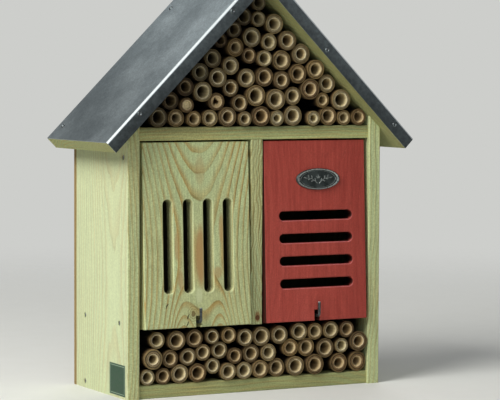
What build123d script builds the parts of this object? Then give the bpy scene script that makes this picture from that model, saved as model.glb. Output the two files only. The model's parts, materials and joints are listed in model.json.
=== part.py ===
from build123d import *
import os
from math import radians, sin, sqrt

# Insect hotel: a gabled pine case with cane nests above and below two slotted doors.
# Millimetres. X is across the front, -Y is the front, +Z is up.
# The origin is under the middle of the whole object, on the ground.

# ---- driving dimensions: the case -------------------------------------------------
body_width = 234.0
board = 10.8
wall_front = -46.0
case_back = 56.0
panel_thickness = 5.0
board_setback = 2.4
edge_round = 0.9
compartment_floor = 55.3
upper_shelf_bottom = 207.6
divider_x = 0.8

# ---- driving dimensions: the roof, pitched at 45 degrees --------------------------
ridge_height = 348.6
roof_front = -60.0
roof_half_span = 141.4
sheet = 0.6
bend_radius = 2.5
flange_depth = 11.45
ridge_overrun = 30.0

# ---- driving dimensions: the doors ------------------------------------------------
door_width = 96.0
door_height = 150.0
door_thickness = board
door_lean = 2.6
door_face_height = 178.0
door_edge_round = 0.7
pivot_drop = 11.5
pivot_height = 194.5
left_door_x = -54.8
right_door_x = 55.2
pin_radius = 1.0
pin_clearance = 0.08
pin_reach = 9.0
pin_chamfer = 0.25
shelf_gap = 0.2

# Four slots in each door, their edges rounded over. Drops are measured from the pivot.
slot_count = 4
slot_round = 1.1
left_slot_width = 8.3
left_slot_length = 76.0
left_slot_pitch = 18.1
left_slot_drop = 72.6
left_slot_shift = 0.9
right_slot_width = 7.6
right_slot_length = 69.0
right_slot_pitch = 18.75
right_slot_drop = 78.8
right_slot_shift = 0.4

# ---- driving dimensions: the hooks ------------------------------------------------
wire_radius = 1.2
hook_height = 60.6
hook_stand_off = 6.5
hook_arm = 11.9
hook_bend = 2.4
hook_depth = 12.0
hook_tip_round = 0.5
hook_bore_gap = 0.05
notch_width = 4.4
notch_height = 9.0

# ---- driving dimensions: the badge, measured from its door's pivot ----------------
badge_length = 41.4
badge_height = 17.8
badge_thickness = 1.2
badge_rim = 1.3
badge_relief = 0.6
badge_x = 2.5
badge_z = -20.7
badge_pin_x = (-17.2, 17.2)
badge_pin_radius = 0.6
badge_pin_head = 1.25
badge_pin_depth = 4.0
leaf_turns = (-52, 0, 52)
leaf_reach = 3.4
leaf_length = 2.9
leaf_width = 1.2
leaf_rise = 0.5
leaf_drop = 1.5

# ---- driving dimensions: the hanger plate, let into the back panel ----------------
hanger_z = 292.0
hanger_width = 44.0
hanger_height = 22.0
hanger_thickness = 1.0
hanger_corner = 4.0
hanger_gap = 0.1
hanger_screw_x = (-16.5, 16.5)
hanger_screw_length = 6.5
screw_radius = 1.2
screw_head_radius = 2.6
screw_slot_width = 0.6
screw_slot_length = 3.2
keyhole_entry = 4.5
keyhole_slot = 2.2
keyhole_drop = 4.5
keyhole_rise = 5.0
keyhole_margin = 0.8

# ---- driving dimensions: nails ----------------------------------------------------
nail_radius = 0.9
head_radius = 2.1
head_thickness = 1.0
nail_gap = 0.02
wall_nail_sink = 0.4
wall_nail_length = 28.0
wall_nail_depths = (wall_front + 16.0, case_back - 18.0)
wall_nail_heights = (board / 2, compartment_floor + board / 2, upper_shelf_bottom + board / 2)
panel_nail_length = 14.0
panel_nail_heights = (22.0, 98.0, 174.0)
panel_nail_x = 60.0
roof_nail_length = 16.5
ridge_nail_length = 28.0
roof_nail_depths = (-34.0, 30.0)
divider_nail_length = 26.0
divider_nail_depths = (-24.0, 36.0)
lip_nail_x = 1.8
lip_nail_length = 18.0
flange_nail_length = 22.0
roof_top_length = 12.0
# Nails seen on the roof: (side, distance down the slope, depth below it), and (distance, y).
flange_nail_places = [(-1, 48.0, 4.4), (-1, 164.0, 4.0), (1, 88.0, 7.6), (1, 178.0, 5.0)]
roof_top_places = [(46.0, 50.0), (186.0, 50.0)]

# ---- driving dimensions: the side label -------------------------------------------
label_setback = 4.5
label_width = 30.0
label_bottom = 2.0
label_height = 25.5
label_thickness = 0.15

# ---- driving dimensions: the canes ------------------------------------------------
cane_gap = 0.25
cane_back = 52.0
cane_node_thickness = 12.0
cane_front = wall_front + 0.6
cane_stagger = 1.3
# The canes that differ: one is closed by a node at its mouth, and one stands proud of the rest.
closed_cane_x = -64.5
closed_cane_bore_depth = 3.0
proud_cane_x = 52.5
proud_cane_length = 2.0

# Canes from the lowest row up: (x, outer diameter, bore). Each one rests on those below it.
gable_rows = [
    [(-90, 16, 10), (-73.5, 14.5, 7.5), (-57.5, 13, 8), (-43, 14, 7.5), (-27.5, 16, 8.5), (-12, 12.5, 7),
     (3, 16.5, 9.5), (18, 13, 6), (33.5, 17, 9.5), (52.5, 12.5, 6), (67.5, 16, 9), (82.5, 13, 7), (96.5, 14, 8)],
    [(-64.5, 12.5, 7), (-78.5, 14.5, 8.5), (-37, 14.5, 8.5), (-50.5, 16.5, 10), (-16.5, 14, 9), (-1, 17.5, 10.5),
     (17, 17.5, 10), (33.5, 15, 8.5), (61.5, 12.5, 7), (49, 17.5, 9), (78.5, 17.5, 10.5)],
    [(-66, 15, 8), (-24, 14.5, 8.5), (-37, 16, 9), (65.5, 15.5, 8.5), (22, 15, 8), (6.5, 16, 9.5),
     (-9.5, 15.5, 9), (37.5, 16, 9)],
    [(-53, 15, 8), (54, 16, 9), (-24.5, 15, 8.5), (23, 17, 9), (6, 13.5, 9), (-41, 15.5, 9), (-7.3, 13, 8),
     (41, 17, 8)],
    [(-21, 15, 7.5), (-33.5, 12, 7), (11, 14.5, 8.5), (-5, 16.5, 10), (28, 16.5, 9)],
    [(-22, 13.5, 8), (16, 16.5, 9), (1.5, 13, 8.5), (-12.5, 14.5, 9)],
    [(1, 13, 8)],
]
lower_rows = [
    [(-98.5, 13, 8), (-84.5, 13.5, 8), (-69.5, 15.5, 9), (-53.7, 15.5, 9.5), (-26.5, 14.5, 8.5), (-39.5, 13, 8),
     (-11.5, 14.5, 8.5), (3.5, 15, 9), (19.5, 15.5, 9), (36.5, 16.5, 9.5), (55, 17, 9.5), (79, 16.5, 8),
     (97, 17, 7)],
    [(-94.5, 17, 7), (-78, 14.5, 8), (-62.5, 14.5, 8.5), (-48.5, 13.5, 8.5), (-20, 13.5, 8), (-33.5, 14.5, 9),
     (-4.5, 15.5, 8.5), (11.5, 14.5, 8), (32, 15, 8), (47.5, 15.5, 9), (66, 16.5, 9.5), (81.5, 12.5, 7.5),
     (97, 17, 8)],
    [(-90, 13.5, 8.5), (-73.5, 16, 9.5), (-56.5, 15, 9), (-41, 13, 8), (-26, 13.5, 8.5), (-11, 14.5, 9),
     (4.5, 16, 10), (21.5, 15.5, 9), (40, 15, 9), (55, 14, 8.5), (70, 14.5, 9), (85.5, 14, 8.5)],
]

# ---- worked out from the dimensions above -----------------------------------------
half_width = body_width / 2
inner_half = half_width - board
back_plane = case_back + panel_thickness
shelf_front = wall_front + board_setback
upper_shelf_top = upper_shelf_bottom + board
lower_shelf_top = compartment_floor + board
roof_stack = sheet + board
slope_length = roof_half_span * sqrt(2)
underside_ridge = ridge_height - roof_stack * sqrt(2)
roof_nail_along = (half_width - board * 0.4) * sqrt(2) + roof_stack
ridge_nail_along = roof_stack - board / 2
lean_slope = sin(radians(door_lean))
pivot_y = shelf_front + door_thickness / 2 + (pivot_height - door_face_height) * lean_slope
door_back_at_shelf = pivot_y + door_thickness / 2 - (pivot_height - lower_shelf_top) * lean_slope
lower_shelf_front = door_back_at_shelf + shelf_gap
lip_nail = (lip_nail_x, shelf_front, compartment_floor + board / 2)
hook_y = wall_front - hook_stand_off
hook_tip = hook_height + hook_arm
wider_than_all = 500.0


# ---- helpers ----------------------------------------------------------------------
def block(x0, x1, y0, y1, z0, z1):
    size = Box(x1 - x0, y1 - y0, z1 - z0)
    return Pos((x0 + x1) / 2, (y0 + y1) / 2, (z0 + z1) / 2) * size


def rod(start, direction, length, radius):
    """A round bar from start along direction."""
    plane = Plane(origin=start, z_dir=direction)
    return plane * Cylinder(radius, length, align=(Align.CENTER, Align.CENTER, Align.MIN))


def nail(head_centre, direction, length, sink=0.0, radius=nail_radius):
    """A wire nail driven along direction, its head's outer face sink below head_centre."""
    d = Vector(*direction).normalized()
    top = Vector(*head_centre) + d * sink
    return rod(top, d, length, radius) + rod(top, d, head_thickness, head_radius)


def nail_hole(head_centre, direction, length, sink=0.0, radius=nail_radius):
    """The hole that a nail leaves, open from head_centre inwards."""
    d = Vector(*direction).normalized()
    top = Vector(*head_centre)
    shank = rod(top, d, length + sink + nail_gap, radius + nail_gap)
    head = rod(top, d, head_thickness + sink + nail_gap, head_radius + nail_gap)
    return shank + head


def roof_void():
    """Everything above the undersides of the roof boards."""
    reach = wider_than_all
    base = underside_ridge
    points = [(0, base), (reach, base - reach), (reach, reach), (-reach, reach), (-reach, base - reach)]
    face = make_face(Polyline(*points, close=True))
    return Plane.XZ * extrude(face, reach, both=True)


def lay_on_slope(body, side):
    """Place a piece drawn with X down the slope, Y to the back and Z out of the roof's surface."""
    frame = Plane(origin=(0, 0, ridge_height), x_dir=(1, 0, -1), z_dir=(1, 0, 1))
    placed = frame * body
    return placed if side > 0 else mirror(placed, about=Plane.YZ)


def half_space(side):
    """The space on one side of the ridge."""
    reach = wider_than_all
    return block(min(0, side * reach), max(0, side * reach), -reach, reach, -reach, reach)


def on_slope(side, along, y, depth):
    """A point on the roof, a distance down the slope from the ridge and a depth below its surface."""
    x = side * (along - depth) * sqrt(0.5)
    z = ridge_height - (along + depth) * sqrt(0.5)
    return Vector(x, y, z)


# ---- the nails' places ------------------------------------------------------------
def wall_nail_places(side):
    return [(side * half_width, y, z) for z in wall_nail_heights for y in wall_nail_depths]


def panel_nail_places():
    edge = half_width - board / 2
    upright = [(side * edge, back_plane, z) for side in (-1, 1) for z in panel_nail_heights]
    shelf_middles = (upper_shelf_bottom + board / 2, board / 2)
    level = [(side * panel_nail_x, back_plane, z) for z in shelf_middles for side in (-1, 1)]
    return upright + level


# ---- the case ---------------------------------------------------------------------
def side_wall(side):
    x0, x1 = sorted((side * inner_half, side * half_width))
    body = block(x0, x1, wall_front, case_back, 0, ridge_height)
    front_edges = body.edges().filter_by(Axis.Z).group_by(Axis.Y)[0]
    body = fillet(front_edges, edge_round)
    body -= roof_void()
    for place in wall_nail_places(side):
        body -= nail_hole(place, (-side, 0, 0), wall_nail_length, wall_nail_sink)
    pivot = (side * half_width, pivot_y, pivot_height)
    body -= nail_hole(pivot, (-side, 0, 0), board + 2, wall_nail_sink, pin_radius)
    for y in roof_nail_depths:
        body -= nail_hole(on_slope(side, roof_nail_along, y, sheet), (-side, 0, -1), roof_nail_length)
    for place in panel_nail_places():
        body -= nail_hole(place, (0, -1, 0), panel_nail_length)
    return body


def long_board(bottom, front):
    """A board between the walls, its two front edges eased, with the walls' nails in its ends."""
    body = block(-inner_half, inner_half, front, case_back, bottom, bottom + board)
    front_edges = body.edges().filter_by(Axis.X).group_by(Axis.Y)[0]
    body = fillet(front_edges, edge_round)
    for side in (-1, 1):
        for place in wall_nail_places(side):
            body -= nail_hole(place, (-side, 0, 0), wall_nail_length, wall_nail_sink)
    return body


def floor_board():
    body = long_board(0, shelf_front)
    for place in panel_nail_places():
        body -= nail_hole(place, (0, -1, 0), panel_nail_length)
    return body


def upper_shelf():
    body = long_board(upper_shelf_bottom, shelf_front)
    for y in divider_nail_depths:
        body -= nail_hole((divider_x, y, upper_shelf_top), (0, 0, -1), divider_nail_length)
    for place in panel_nail_places():
        body -= nail_hole(place, (0, -1, 0), panel_nail_length)
    return body


def lower_shelf():
    body = long_board(compartment_floor, lower_shelf_front)
    for y in divider_nail_depths:
        body -= nail_hole((divider_x, y, compartment_floor), (0, 0, 1), divider_nail_length)
    for x in (left_door_x, right_door_x):
        body -= hook_bore(x)
    body -= nail_hole(lip_nail, (0, 1, 0), lip_nail_length)
    return body


def centre_divider():
    """The upright between the doors, with a lip that hangs over the lower shelf's front edge."""
    x0 = divider_x - board / 2
    x1 = divider_x + board / 2
    body = block(x0, x1, shelf_front, case_back, compartment_floor, upper_shelf_bottom)
    body = fillet(body.edges().filter_by(Axis.Z).group_by(Axis.Y)[0], edge_round)
    body -= block(x0 - 1, x1 + 1, lower_shelf_front, case_back + 1, 0, lower_shelf_top)
    body -= rod((x0 - 1, pivot_y, pivot_height), (1, 0, 0), board + 2, pin_radius + nail_gap)
    for y in divider_nail_depths:
        body -= nail_hole((divider_x, y, upper_shelf_top), (0, 0, -1), divider_nail_length)
        body -= nail_hole((divider_x, y, compartment_floor), (0, 0, 1), divider_nail_length)
    body -= nail_hole(lip_nail, (0, 1, 0), lip_nail_length)
    return body


def back_panel():
    eave = underside_ridge - half_width
    points = [(-half_width, 0), (half_width, 0), (half_width, eave), (0, underside_ridge), (-half_width, eave)]
    face = make_face(Polyline(*points, close=True))
    body = Plane.XZ * extrude(face, -panel_thickness)
    body = Pos(0, case_back, 0) * body
    for place in panel_nail_places():
        body -= nail_hole(place, (0, -1, 0), panel_nail_length)
    body -= hanger_blank(hanger_gap) + screw_head_room()
    for x in hanger_screw_x:
        body -= rod((x, back_plane, hanger_z), (0, -1, 0), hanger_screw_length, screw_radius + nail_gap)
    return body


# ---- the hanger -------------------------------------------------------------------
def hanger_blank(gap=0.0):
    """The hanger plate before it is pierced, larger all round by a gap."""
    half = hanger_width / 2 + gap
    rise = hanger_height / 2 + gap
    body = block(-half, half, back_plane - hanger_thickness, back_plane, hanger_z - rise, hanger_z + rise)
    return fillet(body.edges().filter_by(Axis.Y), hanger_corner)


def keyhole(entry, slot):
    """The outline of a keyhole: a round mouth below and a narrow seat above, cut right through."""
    start = case_back - 1
    depth = panel_thickness + 2
    low = hanger_z - keyhole_drop
    high = hanger_z + keyhole_rise
    mouth = rod((0, start, low), (0, 1, 0), depth, entry)
    seat = rod((0, start, high), (0, 1, 0), depth, slot)
    return mouth + seat + block(-slot, slot, start, start + depth, low, high)


def screw_head_room():
    """The room behind the keyhole for the wall screw's head."""
    reach = keyhole_entry + keyhole_margin
    return keyhole(reach, reach)


def hanger_plate():
    body = hanger_blank() - keyhole(keyhole_entry, keyhole_slot)
    for x in hanger_screw_x:
        body -= rod((x, back_plane, hanger_z), (0, -1, 0), hanger_screw_length, screw_radius + nail_gap)
        body -= screw_head(x, nail_gap)
    return body


def screw_head(x, extra=0.0):
    """The countersunk cone of a hanger screw, its flat top flush with the plate."""
    cone = Cone(screw_radius + extra, screw_head_radius + extra, hanger_thickness)
    return Pos(x, back_plane - hanger_thickness / 2, hanger_z) * Rot(-90, 0, 0) * cone


def hanger_screws():
    """Two countersunk screws with a cross cut in each head."""
    screws = []
    for x in hanger_screw_x:
        top = Pos(x, back_plane, hanger_z)
        shank = rod((x, back_plane, hanger_z), (0, -1, 0), hanger_screw_length, screw_radius)
        upright_cut = top * Box(screw_slot_width, screw_slot_width, screw_slot_length)
        level_cut = top * Box(screw_slot_length, screw_slot_width, screw_slot_width)
        screws.append(shank + screw_head(x) - upright_cut - level_cut)
    return screws


# ---- the roof ---------------------------------------------------------------------
def roof_board(side):
    """One sloping board. The left one runs over the ridge and the right one butts against it."""
    ease = bend_radius - sheet
    front = roof_front + sheet
    outline = [(front, sheet + ease), (front + ease, sheet), (back_plane, sheet), (back_plane, roof_stack),
               (front, roof_stack)]
    start = sheet if side < 0 else roof_stack
    face = make_face(Polyline(*[(start, y, -depth) for y, depth in outline], close=True))
    body = extrude(face, slope_length - start, dir=(1, 0, 0))
    if side < 0:
        ridge_edge = body.edges().filter_by(Axis.Z).group_by(Axis.X)[0].sort_by(Axis.Y)[0]
        body = chamfer(ridge_edge, ease)
    body = lay_on_slope(body, side)
    for y in roof_nail_depths:
        body -= nail_hole(on_slope(side, roof_nail_along, y, sheet), (-side, 0, -1), roof_nail_length)
        body -= nail_hole(on_slope(-1, ridge_nail_along, y, sheet), (1, 0, -1), ridge_nail_length)
    for along, y in roof_top_places:
        body -= nail_hole(on_slope(side, along, y, -head_thickness), (-side, 0, -1), roof_top_length)
    for place in flange_nail_places:
        body -= flange_nail_hole(*place)
    return body


def roof_half(side):
    """One slope of the sheet with its front flange, cut at the ridge."""
    front = roof_front
    centre_y = front + bend_radius
    inner = bend_radius - sheet
    diagonal = sqrt(0.5)
    outline = [
        Line((0, back_plane, 0), (0, centre_y, 0)),
        ThreePointArc((0, centre_y, 0), (0, centre_y - bend_radius * diagonal, bend_radius * (diagonal - 1)),
                      (0, front, -bend_radius)),
        Line((0, front, -bend_radius), (0, front, -flange_depth)),
        Line((0, front, -flange_depth), (0, front + sheet, -flange_depth)),
        Line((0, front + sheet, -flange_depth), (0, front + sheet, -bend_radius)),
        ThreePointArc((0, front + sheet, -bend_radius),
                      (0, centre_y - inner * diagonal, inner * diagonal - bend_radius),
                      (0, centre_y, -sheet)),
        Line((0, centre_y, -sheet), (0, back_plane, -sheet)),
        Line((0, back_plane, -sheet), (0, back_plane, 0)),
    ]
    face = make_face(outline)
    body = Pos(-ridge_overrun, 0, 0) * extrude(face, slope_length + ridge_overrun, dir=(1, 0, 0))
    return lay_on_slope(body, side) & half_space(side)


def flange_nail_hole(side, along, depth):
    p = on_slope(side, along, roof_front - head_thickness, depth)
    return rod(p, (0, 1, 0), flange_nail_length + nail_gap, nail_radius + nail_gap)


def roof_sheet():
    body = roof_half(-1) + roof_half(1)
    for place in flange_nail_places:
        body -= flange_nail_hole(*place)
    for side in (-1, 1):
        for along, y in roof_top_places:
            top = on_slope(side, along, y, -head_thickness)
            body -= rod(top, (-side, 0, -1), roof_top_length, nail_radius + nail_gap)
    return body


# ---- the doors --------------------------------------------------------------------
def hang(body, x):
    """Move a door piece from its own frame, centred on its pivot, to where it hangs."""
    return Pos(x, pivot_y, pivot_height) * Rot(-door_lean, 0, 0) * body


def door_blank():
    """A plain door with its hook notch, its front edges eased."""
    low = pivot_drop - door_height
    half = door_thickness / 2
    body = block(-door_width / 2, door_width / 2, -half, half, low, pivot_drop)
    body -= block(-notch_width / 2, notch_width / 2, -half - 1, half + 1, low - 1, low + notch_height)
    return fillet(front_face(body).edges(), door_edge_round)


def front_face(body):
    return body.faces().sort_by(Axis.Y)[0]


def slot_cutter(length, width, turn, x, z):
    """A round-ended slot through a door: level at no turn and upright at 90 degrees."""
    shape = Rot(0, 0, turn) * SlotOverall(length, width)
    return Pos(x, 0, z) * (Plane.XZ * extrude(shape, door_thickness, both=True))


def slotted(body, cutters):
    """Cut the slots, then round over their front edges."""
    for cutter in cutters:
        body -= cutter
    rims = [edge for wire in front_face(body).inner_wires() for edge in wire.edges()]
    return fillet(rims, slot_round)


def bored(body):
    """Bore the two pivot holes."""
    for side in (-1, 1):
        start = (side * (door_width / 2 + 1), 0, 0)
        body -= rod(start, (-side, 0, 0), pin_reach + 1.5, pin_radius + pin_clearance)
    return body


def slot_offsets(pitch):
    """The slots' places either side of their middle."""
    return [(i - (slot_count - 1) / 2) * pitch for i in range(slot_count)]


def left_door():
    cutters = [slot_cutter(left_slot_length, left_slot_width, 90, x + left_slot_shift, -left_slot_drop)
               for x in slot_offsets(left_slot_pitch)]
    return hang(bored(slotted(door_blank(), cutters)), left_door_x)


def right_door():
    cutters = [slot_cutter(right_slot_length, right_slot_width, 0, right_slot_shift, z - right_slot_drop)
               for z in slot_offsets(right_slot_pitch)]
    body = bored(slotted(door_blank(), cutters))
    for x in badge_pin_x:
        body -= badge_pin_hole(x)
    return hang(body, right_door_x)


def door_centre_pin():
    """One headless pin through the divider that both doors turn on."""
    left_edge = left_door_x + door_width / 2 - pin_reach
    right_edge = right_door_x - door_width / 2 + pin_reach
    body = rod((left_edge, pivot_y, pivot_height), (1, 0, 0), right_edge - left_edge, pin_radius)
    return chamfer(body.edges(), pin_chamfer)


def door_pivot_nails():
    """A nail through each wall into the door's outer edge."""
    nails = []
    for side, x in ((-1, left_door_x), (1, right_door_x)):
        head = half_width - wall_nail_sink
        length = head - abs(x + side * (door_width / 2 - pin_reach))
        nails.append(nail((side * head, pivot_y, pivot_height), (-side, 0, 0), length, 0.0, pin_radius))
    return nails


# ---- the badge --------------------------------------------------------------------
def badge_oval(shrink, thickness):
    shape = Ellipse(badge_length / 2 - shrink, badge_height / 2 - shrink)
    return Plane.XZ * extrude(shape, thickness)


def badge_pin_hole(x):
    return rod((badge_x + x, -door_thickness, badge_z), (0, 1, 0), door_thickness / 2 + badge_pin_depth,
               badge_pin_radius + nail_gap)


def badge_plate():
    """An oval plate with a raised rim and a sprig of three leaves."""
    body = badge_oval(0, badge_thickness + badge_relief)
    body -= Pos(0, -badge_thickness, 0) * badge_oval(badge_rim, badge_relief + 1)
    for turn in leaf_turns:
        shape = Rot(0, 0, turn + 90) * Pos(leaf_reach, 0) * Ellipse(leaf_length, leaf_width)
        body += Pos(0, -badge_thickness, -leaf_drop) * (Plane.XZ * extrude(shape, leaf_rise))
    body = Pos(badge_x, -door_thickness / 2, badge_z) * body
    for x in badge_pin_x:
        body -= badge_pin_hole(x)
    return hang(body, right_door_x)


def badge_pins():
    """Two round-headed pins that hold the badge on the door."""
    pins = []
    seat = -door_thickness / 2 - badge_thickness
    for x in badge_pin_x:
        top = (badge_x + x, seat - badge_relief, badge_z)
        length = badge_relief + badge_thickness + badge_pin_depth - 1
        pin = rod(top, (0, 1, 0), length, badge_pin_radius)
        pin += rod(top, (0, 1, 0), badge_relief, badge_pin_head)
        pins.append(hang(pin, right_door_x))
    return pins


# ---- the hooks --------------------------------------------------------------------
def hook_bore(x):
    """The hole in the shelf's front edge that a hook's shank turns in."""
    start = (x, lower_shelf_front - 1, hook_height)
    return rod(start, (0, 1, 0), hook_depth + 1.3, wire_radius + hook_bore_gap)


def hook(x):
    """A square-bent wire hook: a screw shank into the shelf's edge and an arm that turns in front."""
    shank_end = lower_shelf_front + hook_depth
    path = FilletPolyline((x, shank_end, hook_height), (x, hook_y, hook_height), (x, hook_y, hook_tip),
                          radius=hook_bend)
    section = Plane(origin=(x, shank_end, hook_height), z_dir=(0, -1, 0)) * Circle(wire_radius)
    body = sweep(section, path)
    tip_edges = body.faces().sort_by(Axis.Z)[-1].edges()
    return fillet(tip_edges, hook_tip_round)


# ---- nails ------------------------------------------------------------------------
def wall_nails(side):
    return [nail(p, (-side, 0, 0), wall_nail_length, wall_nail_sink) for p in wall_nail_places(side)]


def divider_nails():
    nails = []
    for y in divider_nail_depths:
        nails.append(nail((divider_x, y, upper_shelf_top), (0, 0, -1), divider_nail_length))
        nails.append(nail((divider_x, y, compartment_floor), (0, 0, 1), divider_nail_length))
    nails.append(nail(lip_nail, (0, 1, 0), lip_nail_length))
    return nails


def back_panel_nails():
    return [nail(p, (0, -1, 0), panel_nail_length) for p in panel_nail_places()]


def roof_board_nails():
    """Nails under the sheet: through each board into its wall, and through the left board at the ridge."""
    nails = []
    for y in roof_nail_depths:
        for side in (-1, 1):
            nails.append(nail(on_slope(side, roof_nail_along, y, sheet), (-side, 0, -1), roof_nail_length))
        nails.append(nail(on_slope(-1, ridge_nail_along, y, sheet), (1, 0, -1), ridge_nail_length))
    return nails


def roof_flange_nails():
    nails = []
    for side, along, depth in flange_nail_places:
        p = on_slope(side, along, roof_front - head_thickness, depth)
        nails.append(nail(p, (0, 1, 0), flange_nail_length))
    return nails


def roof_top_nails():
    nails = []
    for side in (-1, 1):
        for along, y in roof_top_places:
            p = on_slope(side, along, y, -head_thickness)
            nails.append(nail(p, (-side, 0, -1), roof_top_length))
    return nails


# ---- the label --------------------------------------------------------------------
def side_label():
    front = wall_front + label_setback
    return block(-half_width - label_thickness, -half_width, front, front + label_width,
                 label_bottom, label_bottom + label_height)


# ---- the canes --------------------------------------------------------------------
def stack(rows, floor):
    """Drop each cane straight down until it rests on the floor or on the canes below it."""
    placed = []
    result = []
    for row in rows:
        laid = []
        for x, diameter, bore in row:
            r = diameter / 2
            z = floor + r
            for other_x, other_z, other_r in placed:
                reach = r + other_r + cane_gap
                across = abs(x - other_x)
                if across < reach:
                    z = max(z, other_z + sqrt(reach * reach - across * across))
            placed.append((x, z, r))
            laid.append((x, z, diameter, bore))
        result.append(laid)
    return result


def cane(x, z, diameter, bore, row):
    """A bamboo section, open at the front and closed by a node near its back end."""
    front = cane_front + cane_stagger * sin(x * 1.7 + row * 2.3)
    if x == proud_cane_x:
        front -= proud_cane_length
    depth = cane_back - cane_node_thickness - front
    if x == closed_cane_x:
        depth = closed_cane_bore_depth
    body = rod((x, front, z), (0, 1, 0), cane_back - front, diameter / 2)
    return body - rod((x, front - 1, z), (0, 1, 0), depth + 1, bore / 2)


def cane_row(laid, row):
    return [cane(x, z, diameter, bore, row) for x, z, diameter, bore in laid]


# ---- write the files --------------------------------------------------------------
def save(name, shape):
    if isinstance(shape, list):
        shape = Compound(children=shape)
    export_step(shape, f"parts/{name}.step")


def main():
    os.makedirs("parts", exist_ok=True)
    save("left_side_wall", side_wall(-1))
    save("right_side_wall", side_wall(1))
    save("floor_board", floor_board())
    save("upper_shelf", upper_shelf())
    save("lower_shelf", lower_shelf())
    save("centre_divider", centre_divider())
    save("back_panel", back_panel())
    save("hanger_plate", hanger_plate())
    save("hanger_screws", hanger_screws())
    save("left_roof_board", roof_board(-1))
    save("right_roof_board", roof_board(1))
    save("roof_sheet", roof_sheet())
    save("left_door", left_door())
    save("right_door", right_door())
    save("door_centre_pin", door_centre_pin())
    save("door_pivot_nails", door_pivot_nails())
    save("badge_plate", badge_plate())
    save("badge_pins", badge_pins())
    save("left_hook", hook(left_door_x))
    save("right_hook", hook(right_door_x))
    save("left_wall_nails", wall_nails(-1))
    save("right_wall_nails", wall_nails(1))
    save("divider_nails", divider_nails())
    save("back_panel_nails", back_panel_nails())
    save("roof_board_nails", roof_board_nails())
    save("roof_flange_nails", roof_flange_nails())
    save("roof_top_nails", roof_top_nails())
    save("side_label", side_label())
    for i, laid in enumerate(stack(gable_rows, upper_shelf_top)):
        save(f"gable_canes_row_{i + 1}", cane_row(laid, i))
    for i, laid in enumerate(stack(lower_rows, board)):
        save(f"lower_canes_row_{i + 1}", cane_row(laid, i))


main()
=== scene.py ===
import json
from collections import namedtuple
from math import cos, pi, radians, sin, sqrt, tau

import bmesh
import bpy
import numpy as np
from mathutils import Matrix, Vector


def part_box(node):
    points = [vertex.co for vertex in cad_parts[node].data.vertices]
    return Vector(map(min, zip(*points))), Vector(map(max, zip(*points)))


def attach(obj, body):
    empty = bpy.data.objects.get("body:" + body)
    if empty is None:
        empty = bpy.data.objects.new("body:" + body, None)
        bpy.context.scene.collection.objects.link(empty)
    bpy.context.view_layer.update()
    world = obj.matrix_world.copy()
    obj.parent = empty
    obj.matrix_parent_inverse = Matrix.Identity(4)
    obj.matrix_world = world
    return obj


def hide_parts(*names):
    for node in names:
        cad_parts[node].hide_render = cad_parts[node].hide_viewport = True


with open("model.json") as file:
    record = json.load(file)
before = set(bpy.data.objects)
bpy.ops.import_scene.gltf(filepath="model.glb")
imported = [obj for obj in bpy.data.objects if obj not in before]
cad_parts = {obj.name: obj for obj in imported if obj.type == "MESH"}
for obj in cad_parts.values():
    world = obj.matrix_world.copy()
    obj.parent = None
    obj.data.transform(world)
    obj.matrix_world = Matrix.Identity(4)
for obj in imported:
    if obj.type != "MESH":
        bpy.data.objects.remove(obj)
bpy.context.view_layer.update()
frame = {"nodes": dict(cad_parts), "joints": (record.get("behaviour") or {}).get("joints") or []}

MM = 0.001
PER_METRE = 1000.0
WELD = 1e-6
X_AXIS, Y_AXIS = Vector((1, 0, 0)), Vector((0, 1, 0))


# ---- places read from the frame ----
def low(node):
    return Vector(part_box(node)[0])


def high(node):
    return Vector(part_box(node)[1])


def middle(node):
    return (low(node) + high(node)) / 2


def pivot(joint_name):
    """Where a joint turns, in millimetres."""
    joint = next(j for j in frame["joints"] if j["name"] == joint_name)
    return Vector(joint["pos_m"]) / MM


WALL_FRONT = low("left_side_wall").y
INNER_HALF = low("right_side_wall").x
CASE_BACK = high("right_side_wall").y
LEFT_DOOR = middle("left_door").x / MM
RIGHT_DOOR = middle("right_door").x / MM
DOOR_LEAN = radians(2.6)
DOOR_THICKNESS = 10.8
# A door's slots in millimetres from its pivot: their middle along and across them, pitch,
# half length and half width.
LEFT_SLOTS = (-72.6, 0.9, 18.1, 38.0, 4.15)
RIGHT_SLOTS = (0.4, -78.8, 18.75, 34.5, 3.8)
SLOT_STEPS = (-1.5, -0.5, 0.5, 1.5)


# ---- shader expressions ----
def operation(name):
    """A method of Value that adds one math node."""
    return lambda value, *others: value.math(name, *others)


class Value:
    """A shader socket that takes part in arithmetic."""

    def __init__(self, socket):
        self.socket = socket

    def node(self, kind, *items):
        """A new node fed by this socket and then by other items."""
        node = self.socket.id_data.nodes.new("ShaderNode" + kind)
        for slot, item in zip(node.inputs, (self,) + items):
            feed(slot, item)
        return node

    def math(self, name, *others, clamp=False):
        node = self.node("Math", *others)
        node.operation = name
        node.use_clamp = clamp
        return Value(node.outputs[0])

    __add__ = operation("ADD")
    __sub__ = operation("SUBTRACT")
    __mul__ = operation("MULTIPLY")
    __truediv__ = operation("DIVIDE")
    fract = operation("FRACT")
    absolute = operation("ABSOLUTE")
    root = operation("SQRT")
    smallest = operation("MINIMUM")
    largest = operation("MAXIMUM")

    def __neg__(self):
        return self * -1.0

    def clamped(self):
        return self.math("ADD", 0.0, clamp=True)

    def between(self, start, end, low_value=0.0, high_value=1.0):
        """Smooth step from low_value at start to high_value at end."""
        node = self.node("MapRange", start, end, low_value, high_value)
        node.interpolation_type = "SMOOTHSTEP"
        return Value(node.outputs["Result"])

    def falling(self, start, end):
        """Smooth step from 1 at start to 0 at end."""
        return self.between(start, end, 1.0, 0.0)

    def band(self, rise, top, edge, fall):
        """1 from top to edge, and 0 before rise and after fall."""
        return self.between(rise, top) * self.falling(edge, fall)

    def grey(self, dark, light):
        """A noise as a shade between dark and light."""
        return self.between(0.3, 0.7, dark, light)


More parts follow.
